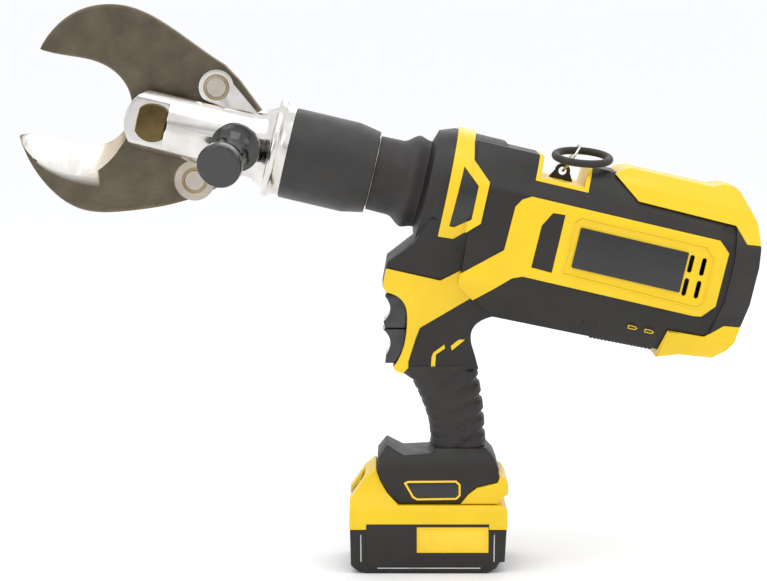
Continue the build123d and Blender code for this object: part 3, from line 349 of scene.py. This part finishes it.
def soften(node, width_mm=0.6, segments=2, cut_mm=None):
    """Replaces a node with a copy whose edges are rounded, as widely as its own edges allow."""
    plain = merged_copy(node)
    if cut_mm:
        cut_below(plain, cut_mm)
    before = plain.calc_volume()
    low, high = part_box(node)
    used = 0
    for width in (width_mm, width_mm / 2, width_mm / 4):
        trial = plain.copy()
        bevelled(trial, width, segments)
        grown = max(
            max(low[i] - min(v.co[i] for v in trial.verts), max(v.co[i] for v in trial.verts) - high[i])
            for i in range(3)
        )
        if abs(trial.calc_volume() - before) < 0.03 * abs(before) and grown < 0.0002:
            plain.free()
            plain, used = trial, width
            break
        trial.free()
    crease(plain)
    print(node, "rounded by", used, "mm")
    return as_piece(plain, f"{node}_skin", finish_of_node[node], node=node)


# %% Soften what shows
SOFT = {
    1.0: "rear_cap_upper rear_cap_lower rear_bumper foot foot_sole pack_top pack_base",
    0.8: "side_panel_left side_panel_right trim_band housing_left housing_right",
    0.6: "trigger_upper trigger_lower pack_latch lug_tray head_collar barrel_sleeve neck_boot yoke",
    0.3: "name_plates panel_inserts link_upper link_lower lug_eye plunger_knob plunger_cap plunger_bushing "
         "pivot_bolt pivot_nut",
    0.25: "jaw_upper jaw_lower",
}
GRIP_TOP = 151.0                # the moulded grip takes over from the housing below this height
for width, nodes in SOFT.items():
    for node in nodes.split():
        soften(node, width, cut_mm=GRIP_TOP if node.startswith("housing_") else None)

# %% [markdown]
# ## A tree for bars that repeat
# The ribs on the belly and on the bumper are the same thing: a short round bar set again and again at even
# spacing along a straight line. One Geometry Nodes tree does it, with its sizes as named inputs: a mesh
# line gives the places, a bar is set on each, and the copies are made real.

# %% Bars along a line
def bars_tree():
    """Builds the tree once: a bar of some length and thickness, set along a line."""
    tree = bpy.data.node_groups.new("bars_along_line", "GeometryNodeTree")
    sockets = {}
    for label, kind in (("Start", "Vector"), ("End", "Vector"), ("Count", "Int"), ("Bar Start", "Vector"),
                        ("Bar End", "Vector"), ("Radius", "Float"), ("Finish", "Material")):
        socket = tree.interface.new_socket(label, in_out="INPUT", socket_type=f"NodeSocket{kind}")
        sockets[label] = socket.identifier
    tree.interface.new_socket("Bars", in_out="OUTPUT", socket_type="NodeSocketGeometry")
    add, link = tree.nodes.new, tree.links.new
    given, result = add("NodeGroupInput"), add("NodeGroupOutput")
    places = add("GeometryNodeMeshLine")
    places.mode = "END_POINTS"
    link(given.outputs["Count"], places.inputs["Count"])
    link(given.outputs["Start"], places.inputs["Start Location"])
    link(given.outputs["End"], places.inputs["Offset"])
    spine = add("GeometryNodeCurvePrimitiveLine")
    profile = add("GeometryNodeCurvePrimitiveCircle")
    bar = add("GeometryNodeCurveToMesh")
    link(given.outputs["Bar Start"], spine.inputs["Start"])
    link(given.outputs["Bar End"], spine.inputs["End"])
    profile.inputs["Resolution"].default_value = 10
    link(given.outputs["Radius"], profile.inputs["Radius"])
    link(spine.outputs["Curve"], bar.inputs["Curve"])
    link(profile.outputs["Curve"], bar.inputs["Profile Curve"])
    bar.inputs["Fill Caps"].default_value = True
    copies = add("GeometryNodeInstanceOnPoints")
    real = add("GeometryNodeRealizeInstances")
    paint = add("GeometryNodeSetMaterial")
    link(places.outputs["Mesh"], copies.inputs["Points"])
    link(bar.outputs["Mesh"], copies.inputs["Instance"])
    link(copies.outputs["Instances"], real.inputs["Geometry"])
    link(real.outputs["Geometry"], paint.inputs["Geometry"])
    link(given.outputs["Finish"], paint.inputs["Material"])
    link(paint.outputs["Geometry"], result.inputs["Bars"])
    return tree, sockets


BARS, BARS_INPUT = bars_tree()


def grown_by(tree, values, name, body):
    """Runs a tree with its inputs set and keeps what it makes as a plain mesh that rides on a body."""
    host = bpy.data.objects.new(f"{name}_host", bpy.data.meshes.new(f"{name}_host"))
    bpy.context.scene.collection.objects.link(host)
    work = host.modifiers.new("grow", "NODES")
    work.node_group = tree
    for socket, value in values.items():
        work[socket] = value
    host.update_tag()
    evaluated = host.evaluated_get(bpy.context.evaluated_depsgraph_get())
    data = bpy.data.meshes.new_from_object(evaluated)
    host.modifiers.clear()
    bpy.data.objects.remove(host)
    made = bpy.data.objects.new(name, data)
    bpy.context.scene.collection.objects.link(made)
    for face in data.polygons:
        face.use_smooth = True
    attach(made, body)
    print(name, "faces", len(data.polygons))
    return made


def bars(name, first, last, count, bar, radius_mm, finish, body="tool"):
    """Sets bars from the first place to the last; bar is the vector from one end of a bar to the other."""
    values = {"Start": first, "End": last, "Count": count, "Bar Start": -bar / 2, "Bar End": bar / 2,
              "Radius": radius_mm * MM, "Finish": finish}
    return grown_by(BARS, {BARS_INPUT[k]: v for k, v in values.items()}, name, body)


# %% [markdown]
# ## Flat plates and raised lines
# Labels are thin films on a flat face, left blank here, and the yellow lines are raised mouldings. A plate is
# an outline pushed out of the face by its thickness. Both sides of the tool carry the same ones.

# %% Plates on both flanks
def plate(name, outline, y_mm, thick_mm, finish, body="tool", hole=None, edge_mm=0.25):
    """A plate over an outline of places, from y_mm outwards, on the left and the right side."""
    for side_name, sign in (("left", -1), ("right", 1)):
        work = bmesh.new()
        rings = [outline] if hole is None else [outline, hole]
        loops = [[work.verts.new((p.x, sign * y_mm * MM, p.z)) for p in ring] for ring in rings]
        if hole is None:
            work.faces.new(loops[0])
        else:
            count = len(outline)
            for i in range(count):
                j = (i + 1) % count
                work.faces.new((loops[0][i], loops[0][j], loops[1][j], loops[1][i]))
        grown = bmesh.ops.extrude_face_region(work, geom=list(work.faces))
        out = [v for v in grown["geom"] if isinstance(v, bmesh.types.BMVert)]
        bmesh.ops.translate(work, verts=out, vec=(0, sign * thick_mm * MM, 0))
        bmesh.ops.recalc_face_normals(work, faces=work.faces)
        sharp = [e for e in work.edges if e.calc_face_angle(0) > 0.6]
        bmesh.ops.bevel(work, geom=sharp, offset=edge_mm * MM, segments=2, profile=0.5, affect="EDGES",
                        clamp_overlap=True)
        crease(work)
        made = as_piece(work, f"{name}_{side_name}", finish, body=body)
    print(name, "thick", thick_mm)


def inset(outline, by_mm):
    """The outline moved inwards by a distance, corner by corner."""
    count, result = len(outline), []
    middle = sum(outline, Vector()) / count
    for i, corner in enumerate(outline):
        before = (corner - outline[i - 1]).normalized()
        after = (outline[(i + 1) % count] - corner).normalized()
        inward = Vector((-before.z, 0, before.x))
        inward = inward if inward.dot(middle - corner) > 0 else -inward
        onward = Vector((-after.z, 0, after.x))
        onward = onward if onward.dot(middle - corner) > 0 else -onward
        bisector = (inward + onward).normalized()
        result.append(corner + bisector * (by_mm * MM / max(bisector.dot(inward), 0.35)))
    return result


foot_label = [upright(x, z) for x, z in (
    (-18.5, 67.4), (-15.4, 68.9), (20.6, 69.2), (23.8, 66.2), (23.8, 57.6), (20.8, 54.6), (-8.6, 54.2),
    (-12, 56))]
plate("foot_label_rim", foot_label, 30.9, 0.7, label_yellow, hole=inset(foot_label, 1.5))
plate("foot_label", inset(foot_label, 1.4), 30.9, 0.4, label_film)

trim_label = ((229.6, 21.8), (242.2, 10.9), (242.7, -13.5), (232.1, -22.1), (228.8, -22.1))
LABEL_RADIUS = 46.9             # just proud of the round collar it lies on
for side_name, sign in (("left", -1), ("right", 1)):
    film = bmesh.new()
    film.faces.new([film.verts.new((u, v, 0)) for u, v in trim_label])
    for v in range(-21, 22, 2):
        bmesh.ops.bisect_plane(film, geom=film.verts[:] + film.edges[:] + film.faces[:], plane_co=(0, v, 0),
                               plane_no=(0, 1, 0))
    for vert in film.verts:
        u, v = vert.co.x, vert.co.y
        vert.co = on_tool(u, v, sign * math.sqrt(LABEL_RADIUS**2 - v * v))
    raised = bmesh.ops.extrude_face_region(film, geom=film.faces[:])
    for vert in (g for g in raised["geom"] if isinstance(g, bmesh.types.BMVert)):
        vert.co.y += sign * 0.3 * MM
    bmesh.ops.recalc_face_normals(film, faces=film.faces)
    crease(film)
    as_piece(film, f"trim_label_{side_name}", label_film, body="tool")
print("trim labels on radius", LABEL_RADIUS)

# %% [markdown]
# ## The battery's side
# The pack's black side is one raised panel with clipped lower corners, let into the yellow top. Thin bright
# metal strips along its front, rear and lower edges are painted highlight lines, and a blank yellow plate
# sits at the rear.

# %% Battery panel, painted highlight lines and plate
PACK_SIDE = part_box("pack_base")[1].y / MM
pack_panel = [upright(x, z) for x, z in (
    (-46.5, 37.5), (45.0, 37.5), (45.0, 8.0), (39.5, 2.4), (-40.0, 2.4), (-46.5, 8.0))]
plate("pack_panel", pack_panel, PACK_SIDE - 0.1, 1.0, black_nylon, body="pack", edge_mm=0.5)
pack_plate = [upright(x, z) for x, z in ((-8.8, 35.2), (44.4, 35.2), (44.4, 16.0), (-8.8, 16.0))]
plate("pack_plate", pack_plate, PACK_SIDE + 0.8, 0.4, label_yellow, body="pack")
plate("pack_plate_rim", pack_plate, PACK_SIDE + 0.9, 0.6, yellow_nylon, body="pack",
      hole=inset(pack_plate, 1.6))
# The three bright strips are painted highlights: they stand in for light caught along the pack's front, rear
# and lower edges.
for label, x0, z0, x1, z1 in (("front", -50.4, 29.5, -50.2, 9), ("rear", 48.8, 29.5, 48.6, 9),
                              ("bottom", -38, 4.3, 38.5, 4.3)):
    sideways = Vector((z1 - z0, 0, x0 - x1)).normalized() * 0.4 * MM
    start, end = upright(x0, z0), upright(x1, z1)
    line = [start + sideways, end + sideways, end - sideways, start - sideways]
    plate(f"pack_line_{label}", line, PACK_SIDE + (0.8 if label == "bottom" else -0.1), 0.25, spring_wire,
          body="pack", edge_mm=0.08)

# %% [markdown]
# ## Small turned rings
# A bronze ring sits round each tail pin. It is a turned ring: a section of a few corners carried round an
# axis, which is what a lathe does.

# %% Turned rings
def turned(name, centre, axis, section, finish, body, steps=64):
    """Carries a closed section of (radius, along) places in millimetres round an axis."""
    axis = axis.normalized()
    first = axis.orthogonal().normalized()
    second = axis.cross(first)
    work = bmesh.new()
    rings = []
    for k in range(steps):
        a = 2 * math.pi * k / steps
        out = first * math.cos(a) + second * math.sin(a)
        rings.append([work.verts.new(centre + out * r * MM + axis * h * MM) for r, h in section])
    for k in range(steps):
        here, there = rings[k], rings[(k + 1) % steps]
        for i in range(len(section)):
            j = (i + 1) % len(section)
            work.faces.new((here[i], here[j], there[j], there[i]))
    bmesh.ops.recalc_face_normals(work, faces=work.faces)
    crease(work, 40)
    made = as_piece(work, name, finish, body=body)
    print(name, "faces", len(made.data.polygons))


LEFT = Vector((0, -1, 0))
for which, body in (("upper", "upper_jaw"), ("lower", "lower_jaw")):
    low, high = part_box(f"tail_pin_{which}")
    centre = (low + high) / 2
    turned(f"tail_ring_{which}", Vector((centre.x, low.y, centre.z)), LEFT,
           ((8.2, -0.4), (9.6, -0.4), (9.6, 0.15), (8.2, 0.15)), gold_steel, body)

# %% [markdown]
# ## Ribs
# The belly has a row of small ribs in front of the yellow corner, and the bumper has a row across its back.
# Each row is one call of the bars tree.

# %% Ribs on belly and bumper
bars("belly_ribs", on_tool(350, -79.2), on_tool(394, -77.5), 17, Vector((0, 0.056, 0)), 1.5, black_nylon)
bars("bumper_ribs", on_tool(453.2, 9), on_tool(453.2, -36), 12, Vector((0, 0.07, 0)), 1.1, black_rubber)

# %% [markdown]
# ## The grip
# Below the triggers the grip is soft rubber over the nylon: an oval column with slanted ribs at its back
# and two yellow dashes at its top. The column is lofted: an oval is drawn at each height between the
# grip's front and back lines, and its corners fill out like a rounded rectangle's.

# %% Grip column
# Each row is a height, then the front and back of the grip there, in millimetres.
GRIP_HEIGHTS = ((90.0, 0.5, 44.0), (96.0, 2.2, 43.2), (110, 0.4, 42.3), (120, -2.6, 41.6), (132, -7.6, 39.9),
                (142, -12.6, 38.2), (149.5, -23.5, 36.8), (153.4, -25.4, 36.1))
GRIP_WIDE = 20.6                # half the grip's width
GRIP_ROUND = 72                 # places round each oval
GRIP_SQUARENESS = 3.4           # 2 is an ellipse, and more fills out the corners
RIB_PITCH, RIB_DEPTH, RIB_SLANT = 12.6, 1.9, 0.62
FRONT_PITCH, FRONT_DEPTH = 7.0, 0.7
GRIP_FOOT, GRIP_HEAD, GRIP_STEPS = 90, 153, 120
FIRST_RIB = 92


def grip_line(height, column):
    """The grip's front or back at a height, read between the nearest given heights."""
    rows = GRIP_HEIGHTS
    for low_row, high_row in zip(rows, rows[1:]):
        if height <= high_row[0]:
            share = (height - low_row[0]) / (high_row[0] - low_row[0])
            return low_row[column] + share * (high_row[column] - low_row[column])
    return rows[-1][column]


def oval(height):
    """Places round the grip at a height."""
    front, back = grip_line(height, 1), grip_line(height, 2)
    half, places = (back - front) / 2, []
    for i in range(GRIP_ROUND):
        turn = 2 * math.pi * i / GRIP_ROUND
        cosine, sine = math.cos(turn), math.sin(turn)
        x = math.copysign(abs(cosine) ** (2 / GRIP_SQUARENESS), cosine) * half + (front + back) / 2
        y = math.copysign(abs(sine) ** (2 / GRIP_SQUARENESS), sine) * GRIP_WIDE
        places.append(upright(x, height, y))
    return places


def grip_skin():
    """The lofted column, with ribs that slant down and forwards from its back."""
    work, rings = bmesh.new(), []
    for k in range(GRIP_STEPS + 1):
        height = GRIP_FOOT + (GRIP_HEAD - GRIP_FOOT) * k / GRIP_STEPS
        ring = []
        for place in oval(height):
            x, y = place.x / MM, place.y / MM
            front, back = grip_line(height, 1), grip_line(height, 2)
            share = (x - front) / (back - front)
            wave = math.cos(2 * math.pi * (height - RIB_SLANT * (x - back) - FIRST_RIB) / RIB_PITCH)
            depth = RIB_DEPTH * max(0.0, wave) ** 0.5 * min(1, max(0, (share - 0.3) / 0.25))
            front_wave = math.cos(2 * math.pi * (height - FIRST_RIB) / FRONT_PITCH)
            depth += FRONT_DEPTH * max(0.0, front_wave) * min(1, max(0, (0.3 - share) / 0.2))
            middle = Vector(((front + back) / 2 * MM, 0, place.z))
            out = (place - middle).normalized()
            ring.append(work.verts.new(place - out * depth * MM))
        rings.append(ring)
    for low_ring, high_ring in zip(rings, rings[1:]):
        for i in range(GRIP_ROUND):
            j = (i + 1) % GRIP_ROUND
            work.faces.new((low_ring[i], low_ring[j], high_ring[j], high_ring[i]))
    work.faces.new(list(reversed(rings[0])))
    work.faces.new(rings[-1])
    bmesh.ops.recalc_face_normals(work, faces=work.faces)
    crease(work, 50)
    made = as_piece(work, "grip_skin", black_rubber, body="tool")
    print("grip faces", len(made.data.polygons))


grip_skin()
dash_back = [upright(x, z) for x, z in ((31.0, 176.4), (17.2, 165.0), (16.4, 168.4), (30.0, 179.6))]
dash_front = [upright(x, z) for x, z in (
    (12.2, 166.6), (5.4, 161.9), (4.9, 151.4), (1.6, 151.4), (2.2, 160.2), (3.6, 163.6), (11.8, 169.6))]
plate("grip_dash_back", dash_back, 19.2, 0.7, yellow_nylon)
plate("grip_dash_front", dash_front, 19.2, 0.7, yellow_nylon)

# %% [markdown]
# ## The raised lines on the yellow panel
# A low rim frames the recessed tray, and two small yellow marks sit low on the black flank.

# %% Tray rim and flank marks
tray = [on_tool(u, v) for u, v in (
    (315.5, 2.6), (320.0, 6.9), (414.6, 6.9), (422.8, -1.0), (422.8, -35.6), (417.8, -40.0), (315.5, -38.0))]
plate("tray_rim", tray, 47.5, 0.5, yellow_nylon, hole=inset(tray, 1.3), edge_mm=0.2)
for k, u in enumerate((372.5, 385.0)):
    mark = [on_tool(u + a, -64 + b) for a, b in ((0, 1.3), (5.4, 1.3), (7.2, 0), (5.4, -1.3), (0, -1.3))]
    plate(f"flank_mark_{k}", mark, 45.3, 0.9, yellow_nylon, hole=inset(mark, 0.55),
          edge_mm=0.1)

# %% [markdown]
# ## The stage
# A pale floor lies under a pale room that is bright above, with a dim band a little over the horizon. Bright
# metal is only as good as what it mirrors, and the band gives it a dark line between two light ones. A few
# weak soft lights add highlights. The camera looks at the left side from a little above, with a long lens.

# %% Floor, room and lights
floor_edit = bmesh.new()
FLOOR_REACH = 600               # metres, so that its edge lies at the horizon
bmesh.ops.create_grid(floor_edit, x_segments=1, y_segments=1, size=FLOOR_REACH)
floor = as_piece(floor_edit, "floor", new_finish("floor_paper", (0.93, 0.93, 0.93), 0.9))

room = bpy.data.worlds.new("room")
bpy.context.scene.world = room
room.use_nodes = True
sky = room.node_tree.nodes["Background"]
sky.inputs["Color"].default_value = (0.97, 0.98, 1.0, 1)
heights = room.node_tree.nodes.new("ShaderNodeTexCoord")
height = room.node_tree.nodes.new("ShaderNodeSeparateXYZ")
brighter = room.node_tree.nodes.new("ShaderNodeMath")
brighter.operation = "MAXIMUM"
room.node_tree.links.new(heights.outputs["Generated"], height.inputs["Vector"])
overhead = spread(room, height.outputs["Z"], 0.34, 1.12, at=(0.06, 0.42))
horizon = spread(room, height.outputs["Z"], 1.0, 0.0, at=(0.10, 0.15))
room.node_tree.links.new(overhead, brighter.inputs[0])
room.node_tree.links.new(horizon, brighter.inputs[1])
room.node_tree.links.new(brighter.outputs["Value"], sky.inputs["Strength"])
bpy.context.scene.view_settings.view_transform = "Standard"     # keeps the yellow as full as it is painted


def soft_light(name, place, target, size, watts):
    """A square soft light at a place, turned towards a target."""
    data = bpy.data.lights.new(name, "AREA")
    data.energy, data.size = watts, size
    light = bpy.data.objects.new(name, data)
    light.location = place
    light.rotation_euler = (Vector(target) - Vector(place)).to_track_quat("-Z", "Y").to_euler()
    bpy.context.scene.collection.objects.link(light)


soft_light("top_light", (-0.2, -0.5, 1.9), (0, 0, 0.25), 1.4, 9)
soft_light("left_light", (-1.5, -1.4, 0.9), (0, 0, 0.25), 1.0, 4)
soft_light("right_light", (1.5, -1.2, 1.0), (0, 0, 0.25), 1.0, 3)
soft_light("back_light", (0.3, 1.6, 1.2), (0, 0, 0.25), 1.2, 4)

# %% Camera
VIEW_WIDTH = 0.5676             # metres across the picture at the tool
DISTANCE, LOOK_DOWN = 1.8, 7.0  # metres and degrees
AIM = Vector((-0.0335, -0.02, 0.2100))
lens = bpy.data.cameras.new("catalogue")
lens.lens = lens.sensor_width * DISTANCE / VIEW_WIDTH
camera = bpy.data.objects.new("catalogue", lens)
down = math.radians(LOOK_DOWN)
towards = Vector((0, -math.cos(down), math.sin(down)))
camera.location = AIM + towards * DISTANCE
camera.rotation_euler = (-towards).to_track_quat("-Z", "Y").to_euler()
bpy.context.scene.collection.objects.link(camera)
bpy.context.scene.camera = camera
print("lens", round(lens.lens, 1))
